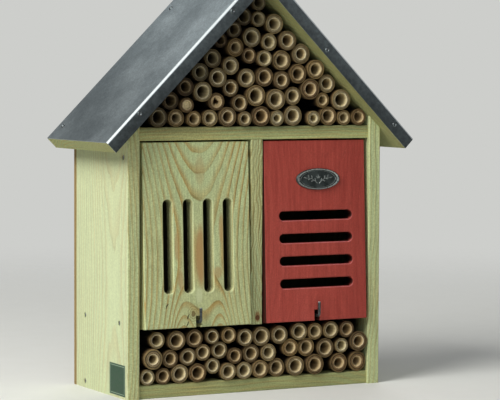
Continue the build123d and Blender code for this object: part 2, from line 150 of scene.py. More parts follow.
def feed(socket, item):
    """Give a socket a value, another socket or a constant."""
    if isinstance(item, Value):
        item = item.socket
    if isinstance(item, bpy.types.NodeSocket):
        socket.id_data.links.new(item, socket)
    else:
        socket.default_value = item


def srgb(text):
    """A hex colour as linear r, g, b."""
    values = [int(text[i:i + 2], 16) / 255 for i in (0, 2, 4)]
    return tuple(v / 12.92 if v <= 0.04045 else ((v + 0.055) / 1.055) ** 2.4 for v in values)


class Material:
    """A material laid on in coats, which change its running colour."""

    SEED_SHIFT = (1.0, 1.7, -0.6)

    def __init__(self, name, specular):
        self.material = bpy.data.materials.new(name)
        self.material.use_nodes = True
        self.tree = self.material.node_tree
        self.shader = self.tree.nodes["Principled BSDF"]
        self.shader.inputs["Specular IOR Level"].default_value = specular
        self.place = self.split("Object")
        self.x, self.y, self.z = self.place
        self.colour = None
        self.height = None

    def node(self, kind):
        return self.tree.nodes.new("ShaderNode" + kind)

    def split(self, output):
        """The three parts of a texture coordinate."""
        node = self.node("SeparateXYZ")
        coordinates = self.node("TexCoord")
        feed(node.inputs[0], coordinates.outputs[output])
        return [Value(socket) for socket in node.outputs]

    def normal(self):
        """The surface's direction."""
        return self.split("Normal")

    def millimetres(self):
        """The place in millimetres."""
        return [axis * PER_METRE for axis in self.place]

    def vector(self, x, y, z):
        node = self.node("CombineXYZ")
        for slot, item in zip(node.inputs, (x, y, z)):
            feed(slot, item)
        return node.outputs[0]

    def texture(self, kind, rates, seed, shifts, at=None):
        """A texture node. Its place is scaled by three rates, or by one for all axes."""
        if not isinstance(rates, tuple):
            rates = (rates,) * 3
        parts = zip(at or self.place, rates, shifts)
        place = self.vector(*(axis * rate + seed * shift for axis, rate, shift in parts))
        node = self.node(kind)
        feed(node.inputs["Vector"], place)
        node.inputs["Scale"].default_value = 1.0
        return node

    def noise(self, rates, seed, detail=3.0, rough=0.5, at=None):
        """Fractal noise, 0 to 1."""
        node = self.texture("TexNoise", rates, seed, self.SEED_SHIFT, at)
        node.inputs["Detail"].default_value = detail
        node.inputs["Roughness"].default_value = rough
        return Value(node.outputs["Fac"])

    def cells(self, rates, seed, output="Distance"):
        """Scattered cells."""
        node = self.texture("TexVoronoi", rates, seed, (1.0, 1.0, 1.0))
        return Value(node.outputs[output])

    def attribute(self, name):
        node = self.node("Attribute")
        node.attribute_name = name
        return Value(node.outputs["Fac"])

    def mix(self, factor, colour_a, colour_b, kind="MIX"):
        """Two colours mixed. Each is a hex text or a socket."""
        node = self.node("Mix")
        node.data_type = "RGBA"
        node.blend_type = kind
        node.clamp_factor = True
        feed(node.inputs[0], factor)
        for slot, colour in zip(node.inputs[6:8], (colour_a, colour_b)):
            feed(slot, (*srgb(colour), 1.0) if isinstance(colour, str) else colour)
        return node.outputs[2]

    def shaded(self, colour, factor):
        """A colour multiplied by a grey expression."""
        return self.mix(1.0, colour, self.vector(factor, factor, factor), "MULTIPLY")

    def base(self, factor, colour_a, colour_b):
        self.colour = self.mix(factor, colour_a, colour_b)

    def coat(self, amount, colour):
        """Lay a colour over the surface, as much as amount says."""
        self.colour = self.mix(amount, self.colour, colour)

    def shade(self, factor):
        self.colour = self.shaded(self.colour, factor)

    def finish(self, roughness, height=None, depth=0.001, metallic=0.0):
        """Connect the shader. A height of 1 stands depth metres high."""
        inputs = self.shader.inputs
        feed(inputs["Base Color"], self.colour)
        feed(inputs["Roughness"], roughness)
        feed(inputs["Metallic"], metallic)
        if height is not None:
            bump = self.node("Bump")
            bump.inputs["Distance"].default_value = depth
            bump.inputs["Strength"].default_value = 1.0
            feed(bump.inputs["Height"], height)
            feed(inputs["Normal"], bump.outputs["Normal"])
        return self.material


def paint(node, material):
    materials = frame["nodes"][node].data.materials
    materials.clear()
    materials.append(material)


def bell(value, width):
    """A bell curve of an expression, 1 where it is 0."""
    scaled = value / width
    return (-(scaled * scaled)).math("EXPONENT")


def spot(m, x, z, half_width, half_height):
    """A soft-edged patch on a front face, in millimetres."""
    across, _, up = m.millimetres()
    return (bell(across - x, half_width) * bell(up - z, half_height)).between(0.2, 0.65)


def door_local(m, joint_name):
    """A door's own millimetres: across from its middle, and back and up from its pivot."""
    at = pivot(joint_name)
    x, y, z = m.millimetres()
    back, up = y - at.y, z - at.z
    lean_cos, lean_sin = cos(DOOR_LEAN), sin(DOOR_LEAN)
    return x - at.x, back * lean_cos - up * lean_sin, back * lean_sin + up * lean_cos


def slot_edge(along, across, slots):
    """Millimetres outside the nearest of a door's slots."""
    along_middle, across_middle, pitch, half_length, half_width = slots
    beyond = ((along - along_middle).absolute() - (half_length - half_width)).largest(0.0)
    nearest = None
    for step in SLOT_STEPS:
        beside = across - (across_middle + step * pitch)
        out = (beyond * beyond + beside * beside).root() - half_width
        nearest = out if nearest is None else nearest.smallest(out)
    return nearest


def slot_painted_shade(edge, back, reach):
    """Painted shade: how a slot's wall darkens with depth, most of all at its reach."""
    deep = (back + DOOR_THICKNESS / 2).between(0.4, reach)
    return (edge.falling(0.1, 0.4) * deep).between(0.0, 1.0, 1.0, 0.08)


# ---- wood ----
PALE, TAN, OLIVE = "BBC592", "AF9152", "9CA26E"
# How a board was cut from its tree, in millimetres: the way its grain runs, the pith's place across
# and behind it, the bow's middle and rate, the rings' spacing, a seed, and how wavy the rings are.
Grain = namedtuple("Grain", "run pith bow spacing seed wobble", defaults=(1.0,))


# Each run turns a place into millimetres along the grain, across it, and towards the pith.
def upright_front(x, y, z):
    return z, x, y


def upright_side(x, y, z):
    return z, y, x


def level(x, y, z):
    return x, y, z


def down_right(x, y, z):
    return (x - z) * sqrt(0.5), y, (x + z) * sqrt(0.5)


def down_left(x, y, z):
    return (x + z) * -sqrt(0.5), y, (z - x) * sqrt(0.5)


def ring_pattern(m, grain, swell=None):
    """Growth rings round a bowed pith: how late in the year the wood grew, and its fibre."""
    at = grain.run(*m.millimetres())
    along, across, inward = at
    slow = m.noise((0.011, 0.03, 0.03), grain.seed, 2.0, at=at) - 0.5
    quick = m.noise((0.035, 0.1, 0.1), grain.seed + 7.0, 2.0, at=at) - 0.5
    lean = along - grain.bow[0]
    side = across - grain.pith[0] + slow * (12.0 * grain.wobble)
    depth = inward - grain.pith[1] + lean * lean * grain.bow[1]
    radius = (side * side + depth * depth).root() + quick * (2.0 * grain.wobble)
    if swell is not None:
        radius = radius + swell(along, across)
    turn = (radius / grain.spacing + grain.seed).fract()
    late = turn.band(0.4, 0.9, 0.93, 1.0)
    line = turn.band(0.84, 0.92, 0.95, 1.0)
    fibre = m.noise((0.016, 1.5, 1.5), grain.seed + 3.0, 4.0, 0.65, at=at)
    return late, line, fibre


def painted_interior_shade(m):
    """1 on the faces that look into the case, which get painted shade there."""
    behind_front = m.y.between(WALL_FRONT + 8 * MM, WALL_FRONT + 26 * MM)
    before_back = m.y.falling(CASE_BACK + 0.5 * MM, CASE_BACK + 1.0 * MM)
    between_walls = m.x.absolute().falling(INNER_HALF + 0.1 * MM, INNER_HALF + 0.3 * MM)
    off_ground = m.z.between(0.5 * MM, 1.0 * MM)
    return behind_front * before_back * between_walls * off_ground


def pine(name, grain, early, strength, marks_and_shade=None, swell=None):
    """Pressure-treated pine: greenish spring wood and tan summer wood."""
    m = Material(name, 0.28)
    seed = grain.seed
    late, line, fibre = ring_pattern(m, grain, swell)
    m.base(m.noise((14, 14, 9), seed + 11.0).between(0.42, 0.75) * 0.3, early, TAN)
    strength_here = m.noise((30, 30, 8), seed + 5.0, 2.0).between(0.3, 0.65, 0.45, 1.0)
    m.coat(late * strength * strength_here, TAN)
    line_here = m.noise((45, 45, 18), seed + 6.0).between(0.45, 0.65)
    m.coat(line * line_here * (0.75 * strength), "7A7240")
    m.shade(fibre.grey(0.78, 1.16))
    grit = m.noise(850, seed + 8.0, 2.0, 0.6)
    m.shade(grit.grey(0.86, 1.14))
    m.coat(m.noise((210, 210, 60), seed + 2.0, 4.0, 0.7).between(0.66, 0.8) * 0.3, "4E4A2C")
    m.height = late * 0.6 + fibre * 0.55
    # Marks, and on some boards painted light and shade.
    if marks_and_shade is not None:
        marks_and_shade(m)
    # Painted shade on the faces inside the case.
    m.shade(painted_interior_shade(m).between(0.0, 1.0, 1.0, 0.16))
    roughness = fibre.between(0.2, 0.8, 0.6, 0.78) - late * 0.08
    return m.finish(roughness, m.height + grit * 0.3, 0.00026)


def left_door_swell(along, across):
    """Below the slots the rings part round a knot and arch up beside it."""
    parting_height, reach, rise = 112.0, 40.0, -3.4
    below = (-along + parting_height).largest(0.0) / reach
    arch = bell(across - (LEFT_DOOR - 15.5), 9.5) + bell(across - (LEFT_DOOR + 21.0), 8.5)
    return below * below * arch * rise


# On the left door, in millimetres across from its middle and up from the ground.
# Resin: (across, up, half width, half height, strength). Open checks: (across, up, half height).
RESIN = [(2.8, 114.0, 4.6, 25.0, 0.85), (21.8, 135.7, 2.4, 12.0, 0.7), (-18.7, 122.4, 2.0, 13.0, 0.6),
         (-15.7, 95.0, 2.6, 8.0, 0.6), (18.0, 100.0, 4.0, 5.0, 0.6), (3.2, 183.0, 4.4, 13.0, 0.32)]
PALE_STREAK = (0.8, 82.0, 3.2, 6.5)
KNOT = (-4.9, 67.5)
OPEN_CHECKS = [(-28.5, 74.6, 2.2), (-9.4, 65.3, 2.6), (-10.0, 59.5, 2.4)]


def left_door_marks_and_shade(m):
    """Resin patches between the slots, painted shade inside the slots, worn slot edges, a knot by the
    hook, and open checks.
    """
    for across, up, half_width, half_height, strength in RESIN:
        m.coat(spot(m, LEFT_DOOR + across, up, half_width, half_height) * strength, "AF8A58")
    across, up, half_width, half_height = PALE_STREAK
    m.coat(spot(m, LEFT_DOOR + across, up, half_width, half_height) * 0.6, "CBD0A4")
    across, back, up = door_local(m, "left_door_swing")
    edge = slot_edge(up, across, LEFT_SLOTS)
    # Painted shade: the slots' walls darken with depth.
    m.shade(slot_painted_shade(edge, back, 15.5))
    m.shade(m.z.between(0.14, 0.2, 1.0, 1.09))
    ragged = m.noise(400, 31.0) - 0.5
    rim = (edge + ragged * 1.2).between(-0.4, 0.3) * edge.falling(0.9, 1.5)
    m.coat(rim * 0.3, "D6DAA8")
    x, _, z = m.millimetres()
    knot_x = x - (LEFT_DOOR + KNOT[0]) + ragged * 2.0
    knot_z = z - KNOT[1] + ragged * 2.0
    out = (knot_x * knot_x + knot_z * knot_z * 0.55).root()
    rings = (out / 1.6).fract().between(0.55, 0.95) * out.falling(3.5, 7.5)
    m.coat(rings * 0.75, "7C6C3C")
    m.coat(out.between(1.2, 2.6, 0.8, 0.0), "6A552C")
    for across, up, half_height in OPEN_CHECKS:
        slanted = x - (LEFT_DOOR + across) + ragged * 3.0 + (z - up) * -0.35
        slit = (bell(slanted, 0.55) * bell(z - up, half_height)).between(0.3, 0.55)
        m.coat(slit * 0.9, "2B2512")
        m.height = m.height - slit * 2.0


def left_wall_painted_light(m):
    """The outer face of the left wall, made paler with painted light."""
    m.coat(m.normal()[0].falling(-0.9, -0.5) * 0.4, "CCD2B4")


def upper_shelf_painted_shade(m):
    """The upper shelf's face: painted shade, darker towards its top edge and lighter along its lower
    one.
    """
    bottom, top = low("upper_shelf").z, high("upper_shelf").z
    rise = (m.z - bottom) / (top - bottom)
    m.shade(rise.between(0.05, 0.95, 1.4, 0.72))
    m.shade(m.noise((9, 60, 900), 47.0, 2.0).grey(0.9, 1.08))


def divider_marks(m):
    """Close wavy lines of summer wood, and a rust stain round the lip's nail."""
    spacing, wave_height, skew = 2.5, 14.0, 0.006
    x, _, z = m.millimetres()
    wave = m.noise((40, 26, 30), 41.0, 2.0) - 0.5
    across = x + wave * wave_height + (z - 150.0) * skew
    line = (across / spacing).fract().band(0.3, 0.75, 0.84, 1.0)
    strength = m.noise((220, 220, 14), 43.0, 2.0).between(0.3, 0.6, 0.3, 0.76)
    on_face = m.y.between(WALL_FRONT + 6 * MM, WALL_FRONT + 16 * MM, 1.0, 0.3)
    m.coat(line * strength * on_face, "806A2E")
    for points in cad_solids("divider_nails"):
        if points[:, 1].min() < WALL_FRONT + 4 * MM:
            head = points.mean(0) / MM
            m.coat(spot(m, head[0], head[2] + 1.0, 2.4, 4.6) * 0.75, "8A5527")
    m.height = m.height + line * 0.5


def stained(name, grain):
    """A thin red stain, streaked along the wood and worn pale at the slots, with painted shade in the
    slots, a painted highlight on their upward lips and a painted shadow on the left edge.
    """
    m = Material(name, 0.3)
    seed = grain.seed
    late, _, fibre = ring_pattern(m, grain)
    x, _, z = m.millimetres()
    to_side, _, upward = m.normal()
    streak = m.noise((420, 420, 9), seed + 1.0, 4.0, 0.6)
    m.base(streak.between(0.3, 0.7), "B14C40", "9E3E34")
    m.coat(late * 0.1, "7E2E28")
    m.coat(m.noise((30, 30, 9), seed).between(0.45, 0.75) * 0.35, "B5544A")
    right_side = (x - RIGHT_DOOR).between(6.0, 44.0)
    upper = z.between(150.0, 205.0)
    m.coat((right_side * 0.42 + upper * 0.03).clamped(), "8E342B")
    m.shade(fibre.between(0.25, 0.75, 0.9, 1.08))
    across, back, up = door_local(m, "right_door_swing")
    edge = slot_edge(across, up, RIGHT_SLOTS)
    # Painted shade: the slots' walls darken with depth, more slowly on left-facing walls.
    m.shade(slot_painted_shade(edge, back, to_side.between(-0.9, -0.3, 9.0, 3.2)))
    # The slot lips: pale worn stain, with a painted highlight on their upward faces.
    lip = (edge + (m.noise(500, 8.0) - 0.5)).band(0.1, 0.7, 0.9, 1.5)
    m.coat(lip * upward.between(0.1, 0.5, 0.0, 0.7), "C87C80")
    m.coat(m.noise((500, 500, 160), seed + 4.0, 4.0, 0.7).between(0.66, 0.76) * 0.35, "C08474")
    m.shade(m.noise((1100, 1100, 900), seed + 6.0, 2.0).grey(0.9, 1.1))
    # Painted shadow: the left-facing edge is darkened nearly to black.
    m.shade(to_side.between(-0.95, -0.5, 0.12, 1.0))
    return m.finish(fibre.between(0.2, 0.8, 0.5, 0.68), late * 0.25 + fibre * 0.6, 0.0002)


def plywood(name, seed):
    """Plywood: plain veneer on its face and three plies along its edges."""
    ply_line = 1.34
    m = Material(name, 0.25)
    fibre = m.noise((1500, 1500, 16), seed + 3.0, 4.0, 0.65)
    broad = m.noise((11, 11, 2.6), seed + 1.0, 2.0, 0.4) * 24.0
    turn = (broad + m.noise((70, 70, 30), seed, 2.0) * 0.7).fract()
    late = turn.band(0.3, 0.85, 0.9, 1.0)
    face = m.mix(late * 0.5, "B59F6A", "8E7445")
    ply = (m.y * PER_METRE / ply_line).fract().between(0.46, 0.54)
    edge = m.mix(ply, "A88F5C", "6E5833")
    m.base(m.normal()[1].absolute().between(0.4, 0.7), edge, face)
    m.coat(m.noise(9, seed, 4.0, 0.6).between(0.5, 0.72) * 0.35, "6F6A4C")
    m.shade(fibre.between(0.25, 0.75, 0.85, 1.1))
    # Painted shade on the faces inside the case.
    m.shade(painted_interior_shade(m).between(0.0, 1.0, 1.0, 0.1))
    return m.finish(fibre.between(0.2, 0.8, 0.62, 0.8), late * 0.3 + fibre * 0.5, 0.00018)


# ---- metal ----
def spangled(name, dark, light, seed):
    """Weathered galvanised sheet with mottling and pale flecks, not yet finished."""
    m = Material(name, 0.5)
    cloud = m.noise(16, seed, 5.0, 0.62)
    grain = m.noise(420, seed + 5.0, 3.0, 0.7)
    m.base(cloud.between(0.3, 0.7, 0.2, 0.8), dark, light)
    m.shade(grain.grey(0.88, 1.1))
    m.shade(m.noise(1300, seed + 2.0, 2.0).grey(0.86, 1.14))
    m.shade(m.cells(240, seed, "Color").between(0.0, 1.0, 0.94, 1.05))
    m.coat(m.noise(900, seed + 9.0, 2.0).between(0.68, 0.74) * 0.4, "C8D0CF")
    roughness = cloud.between(0.25, 0.75, 0.3, 0.44) + grain * 0.06
    return m, cloud, grain, roughness


def plate_zinc():
    m, cloud, grain, roughness = spangled("plate_zinc", "8E9696", "B4BABA", 7.0)
    return m.finish(roughness, cloud * 0.7 + grain * 0.12, 0.0004, 0.8)


def roof_zinc():
    """The roof: slopes paler towards the ridge, a painted highlight along the bend, and front flanges
    darkened with painted reflection and shade.
    """
    m, cloud, grain, roughness = spangled("roof_zinc", "8C979B", "B7C1C4", 3.0)
    m.shade(m.z.between(0.22, 0.34, 0.78, 1.5) * m.y.between(-0.055, 0.0, 1.08, 0.97))
    # The front flanges' mottled colour is painted reflection and shade: dark, lighter on the right
    # flange, higher up and near the bend.
    dull = m.mix(m.noise(260, 17.0, 4.0, 0.65).between(0.25, 0.75), "515759", "666E70")
    dull = m.shaded(dull, grain.grey(0.88, 1.1) * m.x.between(-0.03, 0.03, 1.08, 1.2))
    dull = m.shaded(dull, m.z.between(0.2, 0.3, 0.87, 1.25))
    below_surface = (-m.z - m.x.absolute() + high("roof_sheet").z) * (sqrt(0.5) * PER_METRE)
    dull = m.shaded(dull, below_surface.between(2.0, 11.0, 1.14, 0.86))
    forward = m.normal()[1]
    m.coat(forward.falling(-0.97, -0.9), dull)
    # Painted highlight: the bend is painted nearly white and made less metallic.
    painted_bend_highlight = forward.band(-0.96, -0.86, -0.35, -0.1)
    m.coat(painted_bend_highlight * 0.95, "D4DBDC")
    metallic = painted_bend_highlight.between(0.0, 1.0, 0.8, 0.25)
    return m.finish(roughness, cloud * 0.4 + grain * 0.12, 0.0004, metallic)


def steel(name, dark, light, seed, metallic=0.9, rust=0.0, roughness=0.35):
    """Nail steel with dull patches and as much rust as is asked for."""
    m = Material(name, 0.5)
    patch = m.noise(300, seed, 4.0, 0.6)
    m.base(patch.between(0.3, 0.7), dark, light)
    spots = m.noise(700, seed + 3.0, 4.0, 0.65)
    rusty = spots.between(0.62 - rust * 0.4, 0.7 - rust * 0.35) * (0.25 + rust)
    m.coat(rusty, "6E3B1E")
    rough = patch.between(0.2, 0.8, roughness, roughness + 0.2) + rusty * 0.3
    return m.finish(rough, spots, 0.00008, rusty.between(0.0, 0.8, metallic, 0.1))


def badge_casting():
    """Dark cast metal, rubbed bright along its rim and on the leaves."""
    m = Material("badge_casting", 0.5)
    cast = m.noise(900, 2.0, 4.0, 0.65)
    grime = m.noise(160, 5.0)
    m.base(grime.between(0.3, 0.7), "353B3A", "515857")
    rubbed = (m.attribute("wear") * cast.between(0.25, 0.6, 0.45, 1.0)).clamped()
    m.coat(rubbed.between(0.3, 1.0) * 0.9, "D2D8D4")
    rough = cast.between(0.2, 0.8, 0.36, 0.55) - rubbed * 0.1
    return m.finish(rough, cast + grime * 0.5, 0.0001, 0.75)


def hook_wire_zinc():
    """Zinc plated wire gone dull blue-grey, bright where its tip was clipped."""
    m = Material("hook_wire_zinc", 0.5)
    patch = m.noise((500, 500, 300), 3.0, 4.0, 0.6)
    m.base(patch.between(0.3, 0.7), "3A3F40", "696E6E")
    m.coat(m.attribute("wear").between(0.4, 1.0) * 0.9, "E0E4E2")
    m.coat(m.noise((1100, 1100, 700), 6.0).between(0.66, 0.72) * 0.5, "59402C")
    return m.finish(patch.between(0.2, 0.8, 0.26, 0.46), patch, 0.00006, 0.85)


def label_print():
    """A dark green printed label with a thin pale frame, worn at its edges."""
    m = Material("label_print", 0.4)
    lo, hi = low("side_label") / MM, high("side_label") / MM
    _, y, z = m.millimetres()
    edge = (y - lo.y).smallest(-y + hi.y).smallest((z - lo.z).smallest(-z + hi.z))
    ink = m.noise(300, 2.0, 4.0, 0.7)
    m.base(ink.between(0.3, 0.7), "1E3A28", "2C4C36")
    m.coat(edge.band(1.2, 1.35, 1.7, 1.85) * 0.7, "9FB39A")
    m.coat((-edge + ink * 1.2).between(0.1, 0.5) * 0.5, "8FA088")
    return m.finish(ink.between(0.3, 0.7, 0.38, 0.55), ink, 0.00005)


# ---- bamboo ----
def bamboo_skin():
    """The cane's outside, streaked along its length, with painted shade behind its mouth and under the
    eave.
    """
    m = Material("bamboo_skin", 0.35)
    streak = m.noise((900, 22, 900), 3.0, 4.0, 0.6)
    m.base(m.attribute("age"), "7A6240", "4C3A24")
    m.coat(streak.between(0.4, 0.8) * 0.6, "382A1A")
    m.coat(m.noise((120, 45, 120), 8.0).between(0.5, 0.75) * 0.35, "7E6E4E")
    # Painted shade: darker behind the mouth and under the eave.
    m.shade(m.attribute("depth").between(0.0, 0.24, 0.95, 0.04) * m.attribute("lit"))
    return m.finish(streak.between(0.2, 0.8, 0.42, 0.62), streak, 0.0002)


def bamboo_rim():
    """The sawn end: a pale lip by the bore, tan wood, a dark groove and a paler shell."""
    m = Material("bamboo_rim", 0.22)
    age = m.attribute("age")
    ruddy = m.attribute("ruddy")
    tone = m.noise(230, 2.0)
    ragged = m.noise(900, 4.0, 3.0, 0.6) - 0.5
    outward = m.attribute("outward") + ragged * 0.3
    lip = m.mix(ruddy, "DCD2B0", "CCB388")
    young_wood = m.mix(ruddy, "9A8E6E", "91764C")
    old_wood = m.mix(ruddy, "7E6D4D", "705334")
    outer_band = m.mix(age, m.mix(ruddy, "8A7D5A", "7E6238"), "54422A")
    m.base(outward.between(0.18, 0.26), lip, m.mix(age, young_wood, old_wood))
    m.coat(outward.band(0.2, 0.27, 0.3, 0.38) * 0.6, "3E3020")
    m.coat(outward.between(0.7, 0.78), outer_band)
    groove = outward.band(0.53, 0.59, 0.68, 0.76)
    m.coat(groove * ruddy.between(0.1, 0.6, 0.6, 1.0), "1A130B")
    shell = outward.band(0.75, 0.82, 0.9, 0.96)
    m.coat(shell * age.between(0.0, 1.0, 0.5, 0.15), "9A8452")
    m.shade(tone.grey(0.78, 1.16))
    dots = m.cells((2300, 500, 2300), 1.0).falling(0.18, 0.34)
    m.coat(dots * outward.between(0.2, 0.9, 0.2, 0.75), "513A20")
    saw = m.noise((350, 350, 2600), 6.0, 2.0).between(0.5, 0.75)
    m.coat(saw * 0.2, "6F5D3E")
    # Painted shade under the eave.
    m.shade(m.attribute("lit"))
    height = dots * -0.5 + tone + ragged - saw * 0.5
    return m.finish(tone.between(0.2, 0.8, 0.68, 0.85), height, 0.00025)


def bamboo_bore():
    """The inside wall: smooth pale pith, made browner and darker with depth by painted shade."""
    m = Material("bamboo_bore", 0.3)
    streak = m.noise((700, 40, 700), 5.0)
    m.base(m.attribute("age"), "DACCA0", "B29A6E")
    m.coat(m.attribute("ruddy") * 0.4, "B5956A")
    # Painted shade deeper in the bore.
    m.coat(m.attribute("depth").between(0.0, 0.7), "54452F")
    m.shade(streak.grey(0.84, 1.08) * m.attribute("lit"))
    return m.finish(streak.between(0.2, 0.8, 0.5, 0.7), streak, 0.00015)


CANE_SIDES = 44
DIAPHRAGM_DEPTH = 6.0 * MM
TORN_CANE_X = -37.0 * MM
SKIN, RIM, BORE = 0, 1, 2
# The depth and lit layers carry painted shade.
CANE_LAYERS = ("outward", "depth", "age", "ruddy", "lit")
Cane = namedtuple("Cane", "x z radius bore front depth back")
# A closed cane's end inside its bore: (share of the bore's radius, share of its depth).
CLOSED_DISH = [(0.97, 0.5), (0.9, 0.8), (0.72, 0.86), (0.5, 1.0), (0.28, 0.94), (0.12, 0.8),
               (0.0, 0.84)]


def cad_solids(node):
    """Each separate solid of a CAD node as an array of its vertices."""
    mesh = bmesh.new()
    mesh.from_mesh(frame["nodes"][node].data)
    bmesh.ops.remove_doubles(mesh, verts=mesh.verts, dist=WELD)
    left = set(mesh.verts)
    solids = []
    while left:
        start = left.pop()
        found, edge = [start], [start]
        while edge:
            vertex = edge.pop()
            for link in vertex.link_edges:
                other = link.other_vert(vertex)
                if other in left:
                    left.remove(other)
                    found.append(other)
                    edge.append(other)
        solids.append(np.array([v.co for v in found]))
    mesh.free()
    return sorted(solids, key=lambda points: tuple(points.mean(0).round(5)))


def cane_sizes(points):
    """The measures of one plain CAD cane. Its depth is the bore's, from the front."""
    lo, hi = points.min(0), points.max(0)
    x, z = (lo[0] + hi[0]) / 2, (lo[2] + hi[2]) / 2
    radius = (hi[0] - lo[0]) / 2
    out = np.hypot(points[:, 0] - x, points[:, 2] - z)
    mouth = out[points[:, 1] < lo[1] + 0.1 * MM]
    bore = mouth[mouth < radius - 0.5 * MM].max()
    inner = points[(out < bore + 0.05 * MM) & (points[:, 1] < hi[1] - 1.0 * MM)]
    return Cane(x, z, radius, bore, lo[1], inner[:, 1].max() - lo[1], hi[1])


class Ripple:
    """A closed wavy line round a cane, 1 on average."""

    def __init__(self, rng, amount, waves=(2, 3, 5, 8)):
        self.terms = [(n, amount * rng.uniform(0.4, 1.0) / n ** 0.7, rng.uniform(0, tau))
                      for n in waves]

    def __call__(self, angle):
        return 1.0 + sum(size * np.cos(n * angle + phase) for n, size, phase in self.terms)


def cane_rings(rng, cane, kind):
    """The cane's profile from its back round to the bore's end: rings of (ripple, radius, y, part)."""
    _, _, radius, bore, front, depth, back = cane
    wall = radius - bore
    skin = Ripple(rng, 0.026, (2, 3, 5, 8, 13))
    hole = Ripple(rng, 0.035 if kind == "open" else 0.02)
    ease = rng.uniform(0.15, 0.4) * MM
    lip = rng.uniform(0.14, 0.27) * wall
    rise = rng.uniform(-0.25, 0.1) * MM
    rings = [(skin, 0.0, back, SKIN), (skin, radius, back, SKIN)]
    for share in (0.3, 0.6, 0.85):
        rings.append((skin, radius * rng.uniform(0.985, 1.0), back - (back - front) * share, SKIN))
    rings += [(skin, radius, front + ease * 2.2, SKIN),
              (skin, radius - ease * 0.25, front + ease * 0.8, SKIN),
              (skin, radius - ease, front + rise * 0.2, RIM)]
    groove = rng.uniform(0.08, 0.3) * MM
    for share, sink in ((0.2, 0.0), (0.3, groove), (0.38, groove), (0.46, 0.02 * MM), (0.66, 0.0)):
        rings.append((skin, radius - wall * share, front + rise * sin(pi * share) + sink, RIM))
    rings += [(hole, bore + lip, front, RIM), (hole, bore + lip * 0.35, front + lip * 0.3, RIM),
              (hole, bore, front + lip * 1.2, BORE)]
    if kind == "open":
        for share in (0.12, 0.3, 0.6):
            rings.append((hole, bore * rng.uniform(0.97, 1.02), front + depth * share, BORE))
        end = front + depth
        rings += [(hole, bore * 0.97, end, BORE), (hole, bore * 0.5, end + 1.2 * MM, BORE),
                  (hole, 0.0, end + 1.5 * MM, BORE)]
    elif kind == "closed":
        rings += [(hole, bore * share, front + depth * sink, BORE) for share, sink in CLOSED_DISH]
    else:
        star = Ripple(rng, 0.55, (3, 5, 7, 11))
        torn = [(hole, 0.9, 1.2), (hole, 0.75, 1.6), (star, 0.62, 1.9), (star, 0.56, 2.6),
                (star, 0.62, 3.6), (hole, 0.9, 5.2), (hole, 0.95, depth / MM),
                (hole, 0.0, depth / MM + 1.5)]
        rings += [(shape, bore * share, front + y * MM, BORE) for shape, share, y in torn]
    return rings


def unit(value):
    """A number held between 0 and 1."""
    return min(1.0, max(0.0, value))


def add_cane(mesh, layers, rng, cane, kind):
    """Append one irregular cane to a mesh."""
    near_reach, shadow_reach, eave_reach = 4 * MM, 30 * MM, 24 * MM
    rings = cane_rings(rng, cane, kind)
    angles = np.arange(CANE_SIDES) / CANE_SIDES * tau
    tilt, tilt_turn = rng.uniform(0, 0.035), rng.uniform(0, tau)
    ragged = Ripple(rng, 0.9, (5, 9, 14))
    age, ruddy = rng.uniform(0, 1) ** 1.2, rng.uniform(0, 1)
    # Painted shade: canes close under the left roof slope are darkened as if the eave shaded them.
    eave_gap = (high("back_panel").z + cane.x - cane.z) / sqrt(2) - cane.radius
    lit = 0.22 + 0.78 * unit(eave_gap / eave_reach) ** 0.8
    loops = []
    for ripple, out, y, part in rings:
        if out == 0.0:
            loop = [mesh.verts.new((cane.x, y, cane.z))]
        else:
            scale = ripple(angles)
            if part == SKIN:
                scale = scale / max(1.0, scale.max() * out / cane.radius / 1.004)
            px, pz = out * scale * np.cos(angles), out * scale * np.sin(angles)
            near = max(0.0, 1.0 - abs(y - cane.front) / near_reach)
            slope = tilt * (px * cos(tilt_turn) + pz * sin(tilt_turn))
            lean = np.maximum(0, slope + tilt * cane.radius) * near
            rough = (ragged(angles) - 1.0) * 0.09 * MM * near
            loop = [mesh.verts.new((cane.x + a, y + b + c, cane.z + d))
                    for a, b, c, d in zip(px, lean, rough, pz)]
        in_dish = kind == "closed" and part == BORE
        # Painted shade: darker deeper behind the mouth, and in a ring round a closed cane's dish.
        shadow = unit((y - cane.front) / shadow_reach)
        if in_dish:
            shadow = 0.3 if out > 0.85 * cane.bore else 0.0
        share = unit((out - cane.bore) / (cane.radius - cane.bore))
        values = (share if part != BORE else 0.0, shadow, 0.0 if in_dish else age, ruddy,
                  lit * 1.4 if kind == "closed" else lit)
        for layer, value in zip(layers, values):
            mark(loop, layer, value)
        loops.append(loop)
    bridge(mesh, loops, [ring[-1] for ring in rings])


def bridge(mesh, rings, parts=None):
    """Join rings of vertices in turn. A ring of one vertex closes the shape to a point."""
    for k, (ring, following) in enumerate(zip(rings, rings[1:])):
        n = max(len(ring), len(following))
        for i in range(n):
            j = (i + 1) % n
            if len(ring) == 1:
                corners = (ring[0], following[j], following[i])
            elif len(following) == 1:
                corners = (ring[i], ring[j], following[0])
            else:
                corners = (ring[i], ring[j], following[j], following[i])
            face = mesh.faces.new(corners)
            face.material_index = parts[k + 1] if parts else 0
            face.smooth = True


def worn_mesh():
    """A new mesh with a layer of wear."""
    mesh = bmesh.new()
    return mesh, mesh.verts.layers.float.new("wear")


def turns(sides):
    """The angles of a ring's corners."""
    return [tau * k / sides for k in range(sides)]


def circle(mesh, centre, across, beyond, radius, sides):
    """A ring of new vertices."""
    return [mesh.verts.new(centre + across * (radius * cos(a)) + beyond * (radius * sin(a)))
            for a in turns(sides)]


def mark(ring, layer, value):
    for vertex in ring:
        vertex[layer] = value


def new_object(name, data):
    obj = bpy.data.objects.new(name, data)
    bpy.context.scene.collection.objects.link(obj)
    return obj


